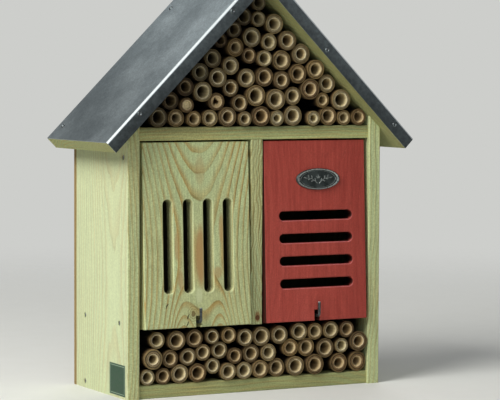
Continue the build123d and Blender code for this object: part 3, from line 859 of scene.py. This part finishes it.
def close_mesh(mesh, name, materials):
    """Turn a bmesh into an object with its normals outward."""
    bmesh.ops.recalc_face_normals(mesh, faces=mesh.faces)
    data = bpy.data.meshes.new(name)
    mesh.to_mesh(data)
    mesh.free()
    for material in materials:
        data.materials.append(material)
    return new_object(name, data)


def cane_kind(node, cane):
    if cane.depth < DIAPHRAGM_DEPTH:
        return "closed"
    if node == "gable_canes_row_2" and abs(cane.x - TORN_CANE_X) < 0.3 * MM:
        return "torn"
    return "open"


def build_canes():
    materials = [bamboo_skin(), bamboo_rim(), bamboo_bore()]
    rng = np.random.default_rng(11)
    for node in sorted(n for n in frame["nodes"] if "_canes_row_" in n):
        mesh = bmesh.new()
        layers = [mesh.verts.layers.float.new(key) for key in CANE_LAYERS]
        for points in cad_solids(node):
            cane = cane_sizes(points)
            add_cane(mesh, layers, rng, cane, cane_kind(node, cane))
        obj = close_mesh(mesh, node.replace("canes", "bamboo"), materials)
        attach(obj, "case")
        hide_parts(node)


# ---- nails ----
# Sections of a nail's head and its grip rings: (millimetres from the head's top, share of the
# head's radius or the shank's).
FLAT_HEAD = [(0.3, 0.0), (0.27, 0.2), (0.08, 0.34), (0.02, 0.5), (0.02, 0.66), (0.1, 0.72),
             (0.1, 0.78), (0.02, 0.84), (0.1, 0.94), (0.35, 1.0), (0.7, 0.99), (0.92, 0.9),
             (1.0, 0.75)]
RING_HEAD = [(0.8, 0.0), (0.78, 0.22), (0.6, 0.38), (0.22, 0.5), (0.03, 0.6), (0.0, 0.68),
             (0.05, 0.78), (0.3, 0.88), (0.55, 0.94), (0.7, 1.0), (0.9, 1.0), (1.0, 0.75)]
PIN_HEAD = [(0.0, 0.0), (0.03, 0.35), (0.14, 0.68), (0.32, 0.92), (0.52, 1.0), (0.6, 0.96)]
GRIP = [(1.05, 1.0), (1.6, 1.0), (1.9, 0.88), (2.3, 1.0), (2.6, 0.88), (3.0, 1.0), (3.3, 0.88),
        (3.7, 1.0), (4.0, 0.88), (4.5, 1.0)]
NAILED = ("left_wall", "right_wall", "back_panel", "roof_board", "roof_flange", "roof_top",
          "door_pivot", "divider")


def turned(mesh, start, direction, profile, sides=28):
    """Append a solid of revolution from its (distance along the axis, radius) profile."""
    axis = Vector(direction).normalized()
    across = axis.orthogonal().normalized()
    beyond = axis.cross(across)
    rings = []
    for distance, radius in profile:
        centre = Vector(start) + axis * distance
        if radius == 0.0:
            rings.append([mesh.verts.new(centre)])
        else:
            rings.append(circle(mesh, centre, across, beyond, radius, sides))
    bridge(mesh, rings)


def nail_sizes(points):
    """Head centre, direction, length, head radius and shank radius of one plain CAD nail."""
    centre = points.mean(0)
    axis = np.linalg.svd(points - centre)[2][0]
    along = (points - centre) @ axis
    out = np.linalg.norm(points - centre - np.outer(along, axis), axis=1)
    if along[out > out.max() - 0.1 * MM].mean() > 0:
        along = -along
    head = points[along < along.min() + 0.05 * MM].mean(0)
    tip = points[along > along.max() - 0.05 * MM]
    shank = np.linalg.norm(tip - tip.mean(0), axis=1).max()
    length = np.linalg.norm(tip.mean(0) - head)
    return head, (tip.mean(0) - head) / length, length, out.max(), shank


def section(table, radius):
    """A head's or grip's section at its real size."""
    return [(distance * MM, share * radius) for distance, share in table]


def wire_nail(mesh, points, head_section):
    """A wire nail: a dished and ringed head, grip rings below it and a drawn point."""
    head, direction, length, wide, shank = nail_sizes(points)
    point = [(length - 2.4 * MM, shank), (length - 0.3 * MM, shank * 0.25), (length, 0.0)]
    turned(mesh, head, direction, section(head_section, wide) + section(GRIP, shank) + point)


def round_pin(mesh, points):
    """A small pin with a domed head."""
    head, direction, length, wide, shank = nail_sizes(points)
    point = [(0.62 * MM, shank), (length - 0.8 * MM, shank), (length, 0.0)]
    turned(mesh, head, direction, section(PIN_HEAD, wide) + point)


def build_nails(steel_finish, rusty_finish, dull_finish):
    for place in NAILED:
        node = place + "_nails"
        mesh = bmesh.new()
        slot = "rusty_nail" if place == "divider" else "nail_steel"
        on_roof = place in ("roof_flange", "roof_top")
        for points in cad_solids(node):
            wire_nail(mesh, points, RING_HEAD if on_roof else FLAT_HEAD)
        finish = rusty_finish if slot == "rusty_nail" else dull_finish if on_roof else steel_finish
        obj = close_mesh(mesh, place + "_wire_nails", [finish])
        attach(obj, "case")
        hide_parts(node)


# ---- badge, in millimetres until it is hung on its door ----
BADGE_LENGTH, BADGE_HEIGHT, BADGE_SIDES = 41.4, 17.8, 132
BADGE_SEAT = Vector((2.5, -DOOR_THICKNESS / 2, -20.7))
# The plate's section from its middle out and round to the back: (share of the oval, height, wear).
BADGE_SECTION = [(0.0, 1.2, 0.1), (0.3, 1.2, 0.1), (0.6, 1.2, 0.1), (0.74, 1.2, 0.1),
                 (0.765, 1.22, 0.2), (0.785, 1.42, 0.9), (0.805, 1.22, 0.2), (0.825, 1.2, 0.1),
                 (0.85, 1.22, 0.1),
                 (0.875, 1.5, 0.7), (0.905, 1.74, 1.0), (0.935, 1.79, 0.8), (0.962, 1.72, 0.5),
                 (0.985, 1.42, 0.3), (0.998, 0.9, 0.1), (1.0, 0.3, 0.0), (0.995, 0.0, 0.0),
                 (0.5, 0.0, 0.0), (0.0, 0.0, 0.0)]
BADGE_FIELD = 1.2
# How far in front of the door a leaf's edge and its hidden underside lie.
LEAF_EDGE, LEAF_FLOOR = 1.16, 1.05
LEAF_STEPS, LEAF_HALF_STEPS = 12, 5
STEM_STATIONS, STEM_SIDES = 14, 10
# A sprig's leaves: (station on its stem, slope, length, width).
SPRIG_LEAVES = ((2, 1.25, 3.3, 1.5), (4, -0.35, 3.0, 1.5), (6, 1.25, 3.5, 1.5), (8, -0.35, 2.8, 1.5),
                (10, 1.25, 3.0, 1.5), (-1, 0.3, 3.0, 1.4))
# The leaves between the sprigs: (turn from upright, length).
CROWN_LEAVES = ((0.0, 3.4), (-0.7, 2.6), (0.7, 2.6))


def leaf(mesh, wear, x, z, turn, length, width):
    """Append one domed leaf with a sunk midrib."""
    rings = []
    for i in range(LEAF_STEPS + 1):
        u = i / LEAF_STEPS
        half = width / 2 * sin(pi * u) ** 0.75 * (1.15 - 0.3 * u) if 0 < i < LEAF_STEPS else 0.0
        ring = []
        for k in range(-LEAF_HALF_STEPS, LEAF_HALF_STEPS + 1):
            v = k / LEAF_HALF_STEPS
            rise = 0.42 * (1 - v * v) ** 0.5 * sin(pi * u) ** 0.5 - 0.16 * (k == 0)
            a, b = u * length, v * half
            vertex = mesh.verts.new((x + a * cos(turn) - b * sin(turn), -(LEAF_EDGE + max(0.0, rise)),
                                     z + a * sin(turn) + b * cos(turn)))
            vertex[wear] = 0.25 + 0.75 * (abs(k) in (1, 2))
            ring.append(vertex)
        rings.append(ring)
    for ring, following in zip(rings, rings[1:]):
        for k in range(2 * LEAF_HALF_STEPS):
            mesh.faces.new((ring[k], ring[k + 1], following[k + 1], following[k])).smooth = True
    outline = [ring[0] for ring in rings] + [ring[-1] for ring in reversed(rings[1:-1])]
    floor = [mesh.verts.new((v.co.x, -LEAF_FLOOR, v.co.z)) for v in outline]
    mark(floor, wear, 0.0)
    for i in range(len(outline)):
        j = (i + 1) % len(outline)
        mesh.faces.new((outline[i], outline[j], floor[j], floor[i])).smooth = True
    mesh.faces.new(floor)
    own = floor + [vertex for ring in rings for vertex in ring]
    bmesh.ops.remove_doubles(mesh, verts=own, dist=WELD)


def stem(mesh, wear, points, thickness):
    """Append a thin round stem along points."""
    last = len(points) - 1
    rings = []
    for i, (x, z) in enumerate(points):
        before, after = points[max(0, i - 1)], points[min(last, i + 1)]
        direction = Vector((after[0] - before[0], 0.0, after[1] - before[1])).normalized()
        across = Vector((-direction.z, 0.0, direction.x))
        centre = Vector((x, -BADGE_FIELD, z))
        ring = circle(mesh, centre, across, Y_AXIS, thickness * (1.0 - 0.5 * i / last), STEM_SIDES)
        mark(ring, wear, 0.8)
        rings.append(ring)
    ends = [[mesh.verts.new((x, -BADGE_FIELD, z))] for x, z in (points[0], points[-1])]
    bridge(mesh, ends[:1] + rings + ends[1:])


def build_badge():
    """An oval cast badge with a double rim and two leafy sprigs, and its pins."""
    mesh, wear = worn_mesh()
    rings = []
    for share, height, worn in BADGE_SECTION:
        half_length, half_height = share * BADGE_LENGTH / 2, share * BADGE_HEIGHT / 2
        corners = turns(BADGE_SIDES) if share > 0.0 else [0.0]
        ring = [mesh.verts.new((half_length * cos(a), -height, half_height * sin(a))) for a in corners]
        mark(ring, wear, worn)
        rings.append(ring)
    bridge(mesh, rings)
    for side in (-1, 1):
        curve = [(side * (0.8 + 10.2 * t), -3.6 + 4.4 * t + 1.6 * sin(pi * t))
                 for t in np.linspace(0, 1, STEM_STATIONS)]
        stem(mesh, wear, curve, 0.28)
        for station, slope, length, width in SPRIG_LEAVES:
            turn = slope if side > 0 else pi - slope
            leaf(mesh, wear, *curve[station], turn, length, width)
    for lean, length in CROWN_LEAVES:
        angle = 0.5 * pi + lean
        leaf(mesh, wear, 0.25 * cos(angle), 0.4 + 0.25 * sin(angle), angle, length, 1.4)
    hung = Matrix.Translation(pivot("right_door_swing")) @ Matrix.Rotation(-DOOR_LEAN, 4, "X")
    place = Matrix.Scale(MM, 4) @ hung @ Matrix.Translation(BADGE_SEAT)
    bmesh.ops.transform(mesh, matrix=place, verts=mesh.verts)
    finish = badge_casting()
    plate = close_mesh(mesh, "leaf_badge", [finish])
    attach(plate, "right_door")
    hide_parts("badge_plate")
    mesh, wear = worn_mesh()
    for points in cad_solids("badge_pins"):
        round_pin(mesh, points)
    mark(mesh.verts, wear, 0.55)
    pins = close_mesh(mesh, "badge_round_pins", [finish])
    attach(pins, "right_door")
    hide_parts("badge_pins")


# ---- hooks, in millimetres until the mesh is closed ----
WIRE_RADIUS, WIRE_SIDES = 1.2, 24
HOOK_BEND, BEND_STEPS, ARM_STEPS = 2.4, 12, 8
THREAD_PITCH, THREAD_LENGTH, THREAD_DEPTH, THREAD_RUN_OUT = 1.1, 9.5, 0.26, 1.5
THREAD_STEP = 0.22
# The clipped tip: (share of the wire's radius, distance below the end).
HOOK_TIP = ((0.93, 0.3), (0.8, 0.1), (0.55, 0.0))
TIP_LENGTH = 0.5


def hook_path(node):
    """Stations along the wire: (centre, tangent, distance along the shank, thread depth)."""
    lo, hi = low(node) / MM, high(node) / MM
    x, shank_z, arm_y = (lo.x + hi.x) / 2, lo.z + WIRE_RADIUS, lo.y + WIRE_RADIUS
    stations = []
    straight = hi.y - (arm_y + HOOK_BEND)
    count = int(straight / THREAD_STEP)
    for i in range(count + 1):
        distance = straight * i / count
        run_out = unit((THREAD_LENGTH - distance) / THREAD_RUN_OUT)
        depth = THREAD_DEPTH * min(1.0, distance) * run_out
        stations.append((Vector((x, hi.y - distance, shank_z)), Vector((0, -1, 0)), distance, depth))
    bend_y, bend_z = arm_y + HOOK_BEND, shank_z + HOOK_BEND
    for i in range(1, BEND_STEPS + 1):
        a = pi / 2 * i / BEND_STEPS
        centre = Vector((x, bend_y - HOOK_BEND * sin(a), bend_z - HOOK_BEND * cos(a)))
        stations.append((centre, Vector((0, -cos(a), sin(a))), straight, 0.0))
    for i in range(1, ARM_STEPS + 1):
        z = bend_z + (hi.z - TIP_LENGTH - bend_z) * i / ARM_STEPS
        stations.append((Vector((x, arm_y, z)), Vector((0, 0, 1)), straight, 0.0))
    return stations, Vector((x, arm_y, hi.z))


def build_hook(node, finish):
    """A screw hook with a cut thread and a clipped tip."""
    stations, end = hook_path(node)
    mesh, wear = worn_mesh()
    rings = [[mesh.verts.new(stations[0][0])]]
    for centre, tangent, distance, depth in stations:
        normal = tangent.cross(X_AXIS)
        wire = WIRE_RADIUS * min(1.0, 0.55 + distance)
        ring = []
        for k, a in enumerate(turns(WIRE_SIDES)):
            turn = (distance / THREAD_PITCH + k / WIRE_SIDES) % 1.0
            radius = wire - depth * (1.0 - abs(2.0 * turn - 1.0))
            place = centre + X_AXIS * (radius * cos(a)) + normal * (radius * sin(a))
            ring.append(mesh.verts.new(place))
        mark(ring, wear, 0.1 + 0.3 * (depth > 0))
        rings.append(ring)
    for share, below in HOOK_TIP:
        centre = end - Vector((0, 0, below))
        rings.append(circle(mesh, centre, X_AXIS, Y_AXIS, WIRE_RADIUS * share, WIRE_SIDES))
        mark(rings[-1], wear, 1.0)
    rings.append([mesh.verts.new(end)])
    mark(rings[-1], wear, 1.0)
    bridge(mesh, rings)
    bmesh.ops.scale(mesh, vec=(MM, MM, MM), verts=mesh.verts)
    obj = close_mesh(mesh, node + "_wire", [finish])
    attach(obj, node)
    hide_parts(node)


# ---- finishing the boards, the metal and the label ----
def finish_boards():
    """Each board: its grain, its spring wood's colour, how strong its rings are, and its marks, some
    of which are painted light and shade.
    """
    left_door_grain = Grain(upright_front, (LEFT_DOOR + 2.8, 21.0), (136.3, 0.00102), 2.5, 0.957, 0.35)
    boards = {
        "left_side_wall": (Grain(upright_side, (-20.0, -70.0), (90.0, 0.0006), 3.1, 4.0),
                           PALE, 0.6, left_wall_painted_light),
        "right_side_wall": (Grain(upright_side, (30.0, 60.0), (260.0, 0.00025), 2.7, 9.0), PALE, 0.5),
        "floor_board": (Grain(level, (10.0, 60.0), (-40.0, 0.0004), 2.9, 2.0), OLIVE, 0.4),
        "upper_shelf": (Grain(level, (0.0, 270.0), (60.0, 0.0002), 2.4, 6.0),
                        OLIVE, 0.4, upper_shelf_painted_shade),
        "lower_shelf": (Grain(level, (20.0, 120.0), (0.0, 0.0012), 3.0, 8.0), OLIVE, 0.5),
        "left_roof_board": (Grain(down_left, (10.0, 200.0), (120.0, 0.001), 3.0, 3.0), OLIVE, 0.5),
        "right_roof_board": (Grain(down_right, (-10.0, 200.0), (90.0, 0.001), 3.1, 7.0), OLIVE, 0.5),
        "centre_divider": (Grain(upright_front, (-30.0, 10.0), (130.0, 0.0035), 2.6, 5.0),
                           PALE, 0.3, divider_marks),
        "left_door": (left_door_grain, PALE, 0.9, left_door_marks_and_shade, left_door_swell),
    }
    for node, cut in boards.items():
        paint(node, pine(node + "_wood", *cut))
    right_door_grain = Grain(upright_front, (RIGHT_DOOR + 6.0, 20.0), (150.0, 0.0014), 3.2, 12.0, 0.6)
    paint("right_door", stained("right_door_stain", right_door_grain))
    paint("back_panel", plywood("back_panel_ply", 4.0))
    paint("side_label", label_print())


def finish_metal():
    plate = plate_zinc()
    bright = steel("nail_steel", "6C6E6C", "A4A7A6", 2.0, rust=0.15)
    rusty = steel("rusty_nail_steel", "6A4A2C", "8A6440", 4.0, 0.4, rust=0.5, roughness=0.6)
    dull = steel("roof_nail_steel", "4A5052", "7C8486", 6.0, 0.8, rust=0.1)
    finishes = {"roof_sheet": roof_zinc(), "hanger_plate": plate, "hanger_screws": plate,
                "door_centre_pin": bright}
    for node, material in finishes.items():
        paint(node, material)
    build_nails(bright, rusty, dull)
    wire = hook_wire_zinc()
    for node in ("left_hook", "right_hook"):
        build_hook(node, wire)
    build_badge()


# ---- camera, stage and light ----
CAMERA_PLACE = Vector((-861.75, -1664.54, 268.71)) * MM
CAMERA_TURNS = (0.4859, -0.0603, 0.0041)
CAMERA_LENS, CAMERA_SENSOR = 161.35, 36.0
STAGE_RADII = (1.0, 8.0)
STAGE_SIDES = 96
STAGE_FADE = (0.45, 1.5)
LIGHT_TARGET = Vector((0.0, 0.0, 0.17))
# (name, place, size, power, colour)
LIGHTS = (("key", (-1.62, -0.58, 1.48), 1.3, 54.0, (1.0, 1.0, 0.97)),
          ("fill", (-1.0, -2.3, 1.3), 1.6, 12.0, (0.96, 0.98, 1.0)),
          ("back", (0.9, 1.5, 1.6), 1.2, 12.0, (1.0, 1.0, 1.0)))


def add_camera():
    """The photo's own view."""
    yaw, pitch, roll = CAMERA_TURNS
    forward = Vector((sin(yaw) * cos(pitch), cos(yaw) * cos(pitch), sin(pitch)))
    right = Vector((cos(yaw), -sin(yaw), 0.0))
    up = right.cross(forward)
    turned_right = right * cos(roll) + up * sin(roll)
    turned_up = up * cos(roll) - right * sin(roll)
    data = bpy.data.cameras.new("camera")
    data.lens = CAMERA_LENS
    data.sensor_width = CAMERA_SENSOR
    data.clip_start, data.clip_end = 0.1, 30.0
    camera = new_object("camera", data)
    matrix = Matrix((turned_right, turned_up, -forward)).transposed().to_4x4()
    matrix.translation = CAMERA_PLACE
    camera.matrix_world = matrix
    bpy.context.scene.camera = camera


def add_stage():
    """A pale round floor that fades into the surround, alike from every side."""
    mesh = bmesh.new()
    rings = [circle(mesh, Vector(), X_AXIS, Y_AXIS, radius, STAGE_SIDES) for radius in STAGE_RADII]
    bridge(mesh, [[mesh.verts.new(Vector())]] + rings)
    m = Material("stage_paper", 0.1)
    m.base(m.noise(40, 1.0), "D9D9D4", "DDDDD9")
    distance = (m.x * m.x + m.y * m.y).root()
    feed(m.shader.inputs["Alpha"], distance.falling(*STAGE_FADE))
    stage = close_mesh(mesh, "stage", [m.finish(0.9)])


def add_surround():
    """A dim cool sky that lights the object, and a pale surround that is only seen."""
    world = bpy.data.worlds.new("studio")
    world.use_nodes = True
    tree = world.node_tree
    sky = tree.nodes["Background"]
    sky.inputs["Color"].default_value = (0.9, 0.95, 1.0, 1.0)
    sky.inputs["Strength"].default_value = 0.14
    surround = tree.nodes.new("ShaderNodeBackground")
    surround.inputs["Color"].default_value = (*srgb("CDCECB"), 1.0)
    seen = tree.nodes.new("ShaderNodeLightPath").outputs["Is Camera Ray"]
    choice = tree.nodes.new("ShaderNodeMixShader")
    for source, socket in zip((seen, sky.outputs[0], surround.outputs[0]), choice.inputs):
        feed(socket, source)
    feed(tree.nodes["World Output"].inputs["Surface"], choice.outputs[0])
    bpy.context.scene.world = world


def add_lights():
    for name, place, size, power, colour in LIGHTS:
        data = bpy.data.lights.new(name, "AREA")
        data.shape = "DISK"
        data.size = size
        data.energy = power
        data.color = colour
        light = new_object(name, data)
        light.location = Vector(place)
        light.rotation_mode = "QUATERNION"
        light.rotation_quaternion = (LIGHT_TARGET - Vector(place)).to_track_quat("-Z", "Y")
    bpy.context.scene.view_settings.view_transform = "Standard"


add_camera()
add_stage()
add_surround()
add_lights()
finish_boards()
finish_metal()
build_canes()
